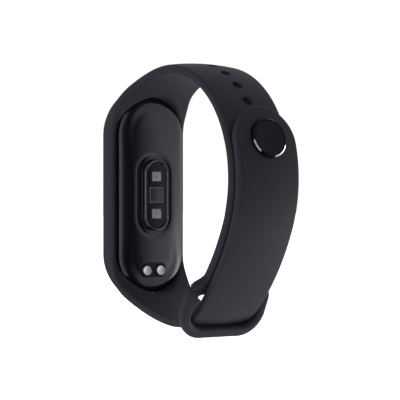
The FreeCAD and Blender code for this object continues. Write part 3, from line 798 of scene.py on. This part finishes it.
def block(name, xs, ys, zs, bevel=0.0, segments=3):
    """Box with rounded edges."""
    points = [(x, y, z) for x in xs for y in ys for z in zs]
    faces = [(0, 1, 3, 2), (4, 6, 7, 5), (0, 4, 5, 1), (2, 3, 7, 6), (0, 2, 6, 4), (1, 5, 7, 3)]
    obj = new_object(name, points, faces)
    if bevel:
        modifier = obj.modifiers.new("round", "BEVEL")
        modifier.width = bevel * MM
        modifier.segments = segments
        apply_modifiers(obj)
    return obj


def centred_block(name, xs, half_y, half_z, z=0.0, bevel=0.0):
    """Block on the capsule's middle line."""
    return block(name, xs, (-half_y, half_y), (z - half_z, z + half_z), bevel)


EMITTER_HALF = (1.3, 1.15)
CHIP_HALF = 0.16
PAD_HALF_WIDTH = 0.12
PAD_Y = 1.02
PHOTODIODE_DIE_HALF = (1.72, 1.58)
PHOTODIODE_RIM_HALF = (2.05, 1.93)


def make_emitters():
    """Two pale ceramic packages, each with a tiny dark chip and two dark pads."""
    top = SENSOR_WINDOW_X + 0.02
    packages, chips = [], []
    for z in (LED_Z, -LED_Z):
        packages.append(centred_block("emitter", (top - 0.3, top), *EMITTER_HALF, z, 0.1))
        chips.append(centred_block("chip", (top - 0.02, top + 0.015), CHIP_HALF, CHIP_HALF, z, 0.01))
        for y in (-PAD_Y, PAD_Y):
            across = (y - PAD_HALF_WIDTH, y + PAD_HALF_WIDTH)
            chips.append(block("pad", (top - 0.02, top + 0.01), across, (z + 0.75, z + 0.92), 0.01))
    return shade(join(packages), 30), shade(join(chips), 30)


def make_photodiode():
    """Dark die set a little below its pale frame."""
    top = SENSOR_WINDOW_X - 0.08
    die = centred_block("photodiode_die", (top - 0.2, top - 0.02), *PHOTODIODE_DIE_HALF, bevel=0.04)
    rim = centred_block("photodiode_rim", (top - 0.25, top + 0.03), *PHOTODIODE_RIM_HALF, bevel=0.06)
    inside = [half + 0.03 for half in PHOTODIODE_DIE_HALF]
    boolean(rim, centred_block("cut", (top - 1, top + 1), *inside))
    return shade(die, 30), shade(rim, 30)


CONTACT_TOP_X = -19.1
CONTACT_FOOT_X = -20.8
SEAL_FOOT_X = -20.4
SEAT_HALF = (1.6, 3.4)


def make_contacts():
    """Two turned contact faces, slightly dished, each in its seal on a shared seat."""
    r, top = CONTACT_RADIUS, CONTACT_TOP_X
    pin = [(0.02, CONTACT_FOOT_X), (r, CONTACT_FOOT_X), (r, top - 0.1), (r - 0.04, top - 0.03),
           (r - 0.1, top), (r - 0.2, top), (r - 0.26, top - 0.03), (r * 0.5, top - 0.07),
           (0.02, top - 0.08)]
    seal = [(r + 0.02, SEAL_FOOT_X), (r + 0.24, SEAL_FOOT_X), (r + 0.24, top - 0.24),
            (r + 0.18, top - 0.16), (r + 0.06, top - 0.16), (r + 0.02, top - 0.22)]
    pins, seals = [], []
    for middle in (-CONTACT_Y, CONTACT_Y):
        def place(u, v, h, middle=middle):
            return (h, middle + u, CONTACT_Z + v)
        pins.append(lathe("pin", pin, place, 96))
        seals.append(lathe("seal", seal, place, 96))
    seat = [lying_stadium(SEAT_HALF[0] + grow, SEAT_HALF[1] + grow, x)
            for grow, x in ((0.0, BURIED_X), (0.0, -19.62), (-0.1, -19.55))]
    seals.append(ring_object("seat", seat, mirrored=True))
    return shade(join(pins), 30), shade(join(seals), 40)


# ---- materials ---------------------------------------------------------------------------------------
def surface(name, dark, light, rough, mottle_scale, grain_scale, grain_depth, metallic=0.0, specular=0.5,
            coat=0.0, sheen=0.0):
    """Principled material: mottled colour, uneven roughness and a fine grain in the normal."""
    material = bpy.data.materials.new(name)
    material.use_nodes = True
    nodes, links = material.node_tree.nodes, material.node_tree.links
    shader = nodes["Principled BSDF"]
    shader.inputs["Metallic"].default_value = metallic
    shader.inputs["Specular IOR Level"].default_value = specular
    shader.inputs["Coat Weight"].default_value = coat
    shader.inputs["Coat Roughness"].default_value = 0.08
    shader.inputs["Sheen Weight"].default_value = sheen
    shader.inputs["Sheen Roughness"].default_value = 0.5
    place = nodes.new("ShaderNodeTexCoord")
    mottle = nodes.new("ShaderNodeTexNoise")
    mottle.inputs["Scale"].default_value = mottle_scale
    mottle.inputs["Detail"].default_value = 6.0
    ramp = nodes.new("ShaderNodeValToRGB")
    ramp.color_ramp.elements[0].position = 0.35
    ramp.color_ramp.elements[0].color = (*dark, 1)
    ramp.color_ramp.elements[1].position = 0.68
    ramp.color_ramp.elements[1].color = (*light, 1)
    links.new(place.outputs["Object"], mottle.inputs["Vector"])
    links.new(mottle.outputs["Fac"], ramp.inputs["Fac"])
    links.new(ramp.outputs["Color"], shader.inputs["Base Color"])
    grain = nodes.new("ShaderNodeTexNoise")
    grain.inputs["Scale"].default_value = grain_scale
    grain.inputs["Detail"].default_value = 4.0
    links.new(place.outputs["Object"], grain.inputs["Vector"])
    spread = nodes.new("ShaderNodeMapRange")
    spread.inputs["From Min"].default_value = 0.3
    spread.inputs["From Max"].default_value = 0.7
    spread.inputs["To Min"].default_value = rough[0]
    spread.inputs["To Max"].default_value = rough[1]
    links.new(grain.outputs["Fac"], spread.inputs["Value"])
    links.new(spread.outputs["Result"], shader.inputs["Roughness"])
    bump = nodes.new("ShaderNodeBump")
    bump.inputs["Strength"].default_value = 0.6
    bump.inputs["Distance"].default_value = grain_depth
    links.new(grain.outputs["Fac"], bump.inputs["Height"])
    links.new(bump.outputs["Normal"], shader.inputs["Normal"])
    return material


def make_materials():
    """One material for each slot of the record.

    Each line gives the name, the darker and the lighter colour, the range of roughness, the scales of the
    mottle and of the grain, and the grain's depth in metres.
    """
    return {
        "strap_silicone": surface(
            "charcoal_silicone", (0.0145, 0.0135, 0.0185), (0.0185, 0.0172, 0.023), (0.5, 0.62), 260.0,
            5200.0, 0.000012, specular=0.34, sheen=0.04),
        "stud_black": surface(
            "stud_enamel", (0.0062, 0.006, 0.0078), (0.0072, 0.007, 0.0088), (0.25, 0.28), 600.0,
            2600.0, 0.000001, specular=0.2),
        "polished_steel": surface(
            "polished_rim", (0.011, 0.011, 0.012), (0.014, 0.014, 0.015), (0.09, 0.12), 900.0, 3200.0,
            0.000004, metallic=1.0),
        "front_glass": surface(
            "cover_glass_black", (0.004, 0.004, 0.005), (0.006, 0.006, 0.007), (0.05, 0.09), 300.0,
            900.0, 0.000002, specular=0.55, coat=0.6),
        "gasket": surface(
            "gasket_rubber", (0.01, 0.01, 0.01), (0.018, 0.018, 0.018), (0.6, 0.75), 500.0, 4000.0,
            0.00001),
        "shell_black": surface(
            "moulded_black_shell", (0.005, 0.0042, 0.0078), (0.0072, 0.0062, 0.0105), (0.17, 0.23),
            320.0, 3600.0, 0.000003, specular=0.95),
        "sensor_window": surface(
            "sensor_window_black", (0.006, 0.006, 0.006), (0.01, 0.009, 0.0095), (0.07, 0.12), 500.0,
            2000.0, 0.000002, specular=0.34),
        "led_white": surface(
            "emitter_ceramic", (0.36, 0.36, 0.36), (0.44, 0.44, 0.44), (0.4, 0.55), 1400.0, 6000.0,
            0.00001, specular=0.4),
        "photodiode": surface(
            "photodiode_silicon", (0.028, 0.028, 0.029), (0.04, 0.04, 0.041), (0.14, 0.24), 900.0,
            3000.0, 0.000003, specular=0.5, coat=0.3),
        "photodiode_frame": surface(
            "photodiode_ceramic", (0.12, 0.12, 0.12), (0.17, 0.17, 0.17), (0.4, 0.5), 1500.0, 5000.0,
            0.000005),
        "circuit_board": surface(
            "solder_mask", (0.005, 0.03, 0.014), (0.008, 0.045, 0.02), (0.3, 0.45), 800.0, 3000.0,
            0.00001),
        "display": surface(
            "display_dark", (0.004, 0.004, 0.006), (0.01, 0.01, 0.014), (0.08, 0.15), 700.0, 1500.0,
            0.000002),
        "frame_metal": surface(
            "cast_frame", (0.2, 0.2, 0.205), (0.28, 0.28, 0.285), (0.35, 0.5), 500.0, 3500.0, 0.00001,
            metallic=1.0),
        "flex_film": surface(
            "polyimide_film", (0.26, 0.1, 0.015), (0.36, 0.15, 0.03), (0.28, 0.4), 700.0, 2200.0,
            0.000005),
        "battery_foil": surface(
            "battery_pouch", (0.3, 0.3, 0.31), (0.4, 0.4, 0.41), (0.3, 0.46), 420.0, 1500.0, 0.00003,
            metallic=0.8),
        "chip": surface(
            "chip_epoxy", (0.012, 0.012, 0.013), (0.024, 0.024, 0.025), (0.45, 0.6), 1100.0, 6000.0,
            0.000008),
        "copper": surface(
            "bare_copper", (0.5, 0.2, 0.1), (0.62, 0.28, 0.15), (0.22, 0.38), 700.0, 3000.0, 0.000006,
            metallic=1.0),
        "contact_metal": surface(
            "plated_contact", (0.72, 0.71, 0.72), (0.86, 0.85, 0.86), (0.4, 0.5), 1500.0, 6000.0,
            0.000005, metallic=1.0),
        "weight_metal": surface(
            "tungsten_weight", (0.22, 0.22, 0.23), (0.3, 0.3, 0.31), (0.3, 0.44), 800.0, 4000.0,
            0.00001, metallic=1.0),
    }


# ---- surroundings ------------------------------------------------------------------------------------
CAMERA_AT = (0.3277, -0.2294, -0.0012)
CAMERA_AZIMUTH = 55.0
CAMERA_LENS = 155.88
FLOOR_Z = -0.0352
DARK_SIDE = (0.998, -0.06, 0.0)
ROOM_PALE = (0.575, 0.557, 0.642)
ROOM_DARK = (0.03, 0.03, 0.036)
ROOM_CEILING = (0.72, 0.72, 0.72)
BACKDROP = (1.05, 1.05, 1.05, 1)
FLOOR_HALF = 3.0
FLOOR_LIGHT = 4.5


def make_floor():
    """A wide white sheet just under the strap, lit by its own light and left out of reflections."""
    mesh = bpy.data.meshes.new("floor")
    corners = [(x * FLOOR_HALF, y * FLOOR_HALF, FLOOR_Z) for x, y in ((-1, -1), (1, -1), (1, 1), (-1, 1))]
    mesh.from_pydata(corners, [], [(0, 1, 2, 3)])
    floor = bpy.data.objects.new("floor", mesh)
    bpy.context.scene.collection.objects.link(floor)
    floor.data.materials.append(surface(
        "floor_paper", (0.93, 0.93, 0.93), (0.96, 0.96, 0.96), (0.7, 0.8), 5.0, 300.0, 0.00002,
        specular=0.1))
    floor.visible_diffuse = False
    floor.visible_glossy = False
    floor.visible_shadow = False
    only_floor = bpy.data.collections.new("floor_light_receivers")
    only_floor.objects.link(floor)
    sun = bpy.data.lights.new("floor_light", "SUN")
    sun.energy = FLOOR_LIGHT
    lamp = bpy.data.objects.new("floor_light", sun)
    bpy.context.scene.collection.objects.link(lamp)
    lamp.location = (0, 0, 2)
    lamp.light_linking.receiver_collection = only_floor
    lamp.light_linking.blocker_collection = only_floor


def ramp_along(nodes, links, place, direction, low, high):
    """Colours that change with how far a ray points along a direction; low and high are (share, colour)."""
    facing = nodes.new("ShaderNodeVectorMath")
    facing.operation = "DOT_PRODUCT"
    facing.inputs[1].default_value = direction
    links.new(place.outputs["Generated"], facing.inputs[0])
    ramp = nodes.new("ShaderNodeValToRGB")
    for element, (share, colour) in zip(ramp.color_ramp.elements, (low, high)):
        element.position = share
        element.color = (*colour, 1)
    links.new(facing.outputs["Value"], ramp.inputs["Fac"])
    return ramp


def make_world():
    """White behind the object; round it, a pale studio whose dark side the capsule's back mirrors."""
    world = bpy.data.worlds.new("studio")
    world.use_nodes = True
    nodes, links = world.node_tree.nodes, world.node_tree.links
    place = nodes.new("ShaderNodeTexCoord")
    room = ramp_along(nodes, links, place, DARK_SIDE, (0.72, ROOM_PALE), (0.985, ROOM_DARK))
    room.color_ramp.interpolation = "EASE"
    ceiling = ramp_along(nodes, links, place, (0, 0, 1), (0.05, (1, 1, 1)), (0.8, ROOM_CEILING))
    dimmed = nodes.new("ShaderNodeMix")
    dimmed.data_type = "RGBA"
    dimmed.blend_type = "MULTIPLY"
    dimmed.inputs["Factor"].default_value = 1.0
    links.new(room.outputs["Color"], dimmed.inputs["A"])
    links.new(ceiling.outputs["Color"], dimmed.inputs["B"])
    seen = nodes.new("ShaderNodeLightPath")
    choose = nodes.new("ShaderNodeMix")
    choose.data_type = "RGBA"
    choose.inputs["B"].default_value = BACKDROP
    links.new(seen.outputs["Is Camera Ray"], choose.inputs["Factor"])
    links.new(dimmed.outputs["Result"], choose.inputs["A"])
    links.new(choose.outputs["Result"], nodes["Background"].inputs["Color"])
    bpy.context.scene.world = world


def make_light(name, at, size, brightness, upright=(0, 0, 1), only=()):
    """A soft box facing the object, its height along upright; only limits it to some pieces."""
    light = bpy.data.lights.new(name, "AREA")
    light.shape = "RECTANGLE"
    light.size, light.size_y = size
    light.energy = brightness * pi * size[0] * size[1]
    obj = bpy.data.objects.new(name, light)
    bpy.context.scene.collection.objects.link(obj)
    obj.location = at
    back = Vector(at).normalized()
    up = Vector(upright)
    up = (up - back * up.dot(back)).normalized()
    obj.rotation_mode = "QUATERNION"
    obj.rotation_quaternion = Matrix((up.cross(back), up, back)).transposed().to_quaternion()
    obj.visible_camera = False
    if only:
        receivers = bpy.data.collections.new(name + "_receivers")
        for piece in only:
            receivers.objects.link(bpy.data.objects[piece])
        obj.light_linking.receiver_collection = receivers


STRAP_PIECES = ["strap_skin", "keeper_loop"] + ["tail_skin_%d" % (k + 1) for k in range(len(TAIL_CUTS) + 1)]
BACK_PIECES = ["capsule_shell", "sensor_ring"]
RIM_PIECES = ["stud_rim_turned"]


def light_studio():
    """Soft fills, two panels that the capsule's back mirrors, and two strips that the stud rim mirrors."""
    make_light("low_fill", (0.2, -0.25, -0.75), (0.8, 0.8), 0.55)
    make_light("far_panel", (0.25, 0.78, -0.33), (0.6, 0.6), 1.6)
    make_light("near_panel", (0.3, -0.75, 0.0), (0.25, 0.7), 2.8, only=BACK_PIECES)
    make_light("front_fill", (0.55, -0.5, -0.2), (0.6, 0.6), 0.75, only=STRAP_PIECES)
    make_light("left_glint", (0.6, -0.36, -0.04), (0.12, 0.6), 22.0, (-0.26, -0.449, 0.856), RIM_PIECES)
    make_light("right_glint", (0.045, 0.78, -0.165), (0.14, 1.0), 22.0, (-0.82, 0.16, 0.55), RIM_PIECES)


def make_camera():
    data = bpy.data.cameras.new("camera")
    data.lens = CAMERA_LENS
    data.sensor_width = 36.0
    data.clip_start, data.clip_end = 0.01, 20.0
    camera = bpy.data.objects.new("camera", data)
    bpy.context.scene.collection.objects.link(camera)
    camera.location = CAMERA_AT
    camera.rotation_euler = (radians(90), 0, radians(CAMERA_AZIMUTH))
    bpy.context.scene.camera = camera


# ---- assembly ------------------------------------------------------------------------------------------
MATERIALS = make_materials()


def finish_piece(obj, name, slot, nodes=(), body=None):
    obj.name = name
    obj.data.name = name
    obj.data.materials.clear()
    obj.data.materials.append(MATERIALS[slot])
    if body:
        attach(obj, body)
    if nodes:
        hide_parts(*nodes)


def place_strap():
    body = make_strap_body()
    finish_piece(body, "strap_skin", "strap_silicone",
                 ("strap_pod", "hole_arm", "engaged_hole_rim", "lower_arm"), "strap")
    finish_piece(make_keeper_ring(), "keeper_loop", "strap_silicone", ("keeper_ring",), "strap")


BLEND_REACH = 2.4


def place_tail():
    for k, (piece, normals, hinge, bodies) in enumerate(make_tail()):
        node = "tail_segment_%d" % min(k + 1, len(TAIL_CUTS))
        name = "tail_skin_%d" % (k + 1)
        if hinge is None:
            finish_piece(piece, name, "strap_silicone", (node,), bodies[0])
        else:
            finish_piece(piece, name, "strap_silicone", (node,))
            start = LOWER.point(hinge - BLEND_REACH, 0, 0)
            end = LOWER.point(hinge + BLEND_REACH, 0, 0)
            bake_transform(piece)
        set_normals(piece, normals)


def place_stud():
    finish_piece(make_stud_rim(), "stud_rim_turned", "polished_steel", ("stud_rim",), "tail_5")
    finish_piece(make_stud_cap(), "stud_face", "stud_black", ("stud_cap",), "tail_5")
    pin = make_stud_pin()
    finish_piece(pin, "stud_pin_turned", "polished_steel", ("stud_pin", "stud_washer"), "tail_5")


def place_capsule():
    finish_piece(make_capsule_shell(), "capsule_shell", "shell_black", ("rear_shell",), "capsule")
    finish_piece(make_glass(), "cover_glass", "front_glass", ("front_glass",), "capsule")
    finish_piece(make_gasket(), "gasket_line", "gasket", ("glass_gasket",), "capsule")
    finish_piece(make_bezel(), "sensor_ring", "shell_black", ("sensor_bezel",), "capsule")
    finish_piece(make_window(), "sensor_pane", "sensor_window", ("sensor_window",), "capsule")
    packages, dies = make_emitters()
    finish_piece(packages, "emitter_packages", "led_white", ("sensor_leds",), "capsule")
    finish_piece(dies, "emitter_chips", "chip", (), "capsule")
    eye, rim = make_photodiode()
    finish_piece(eye, "photodiode_die", "photodiode", ("photodiode",), "capsule")
    finish_piece(rim, "photodiode_rim", "photodiode_frame", ("photodiode_frame",), "capsule")
    faces, rings = make_contacts()
    finish_piece(faces, "contact_faces", "contact_metal", ("charge_contacts",), "capsule")
    finish_piece(rings, "contact_rings", "gasket", ("contact_seals",), "capsule")


def paint_inner_nodes():
    """CAD parts that stay as they are get their slot's material."""
    slots = {part["node"]: part["material_slot"] for part in frame["record"]["subparts"]}
    for name, node in frame["nodes"].items():
        if not node.hide_render:
            node.data.materials.clear()
            node.data.materials.append(MATERIALS[slots[name]])


place_strap()
place_tail()
place_stud()
place_capsule()
paint_inner_nodes()
make_floor()
make_world()
light_studio()
make_camera()
bpy.context.scene.view_settings.view_transform = "Standard"
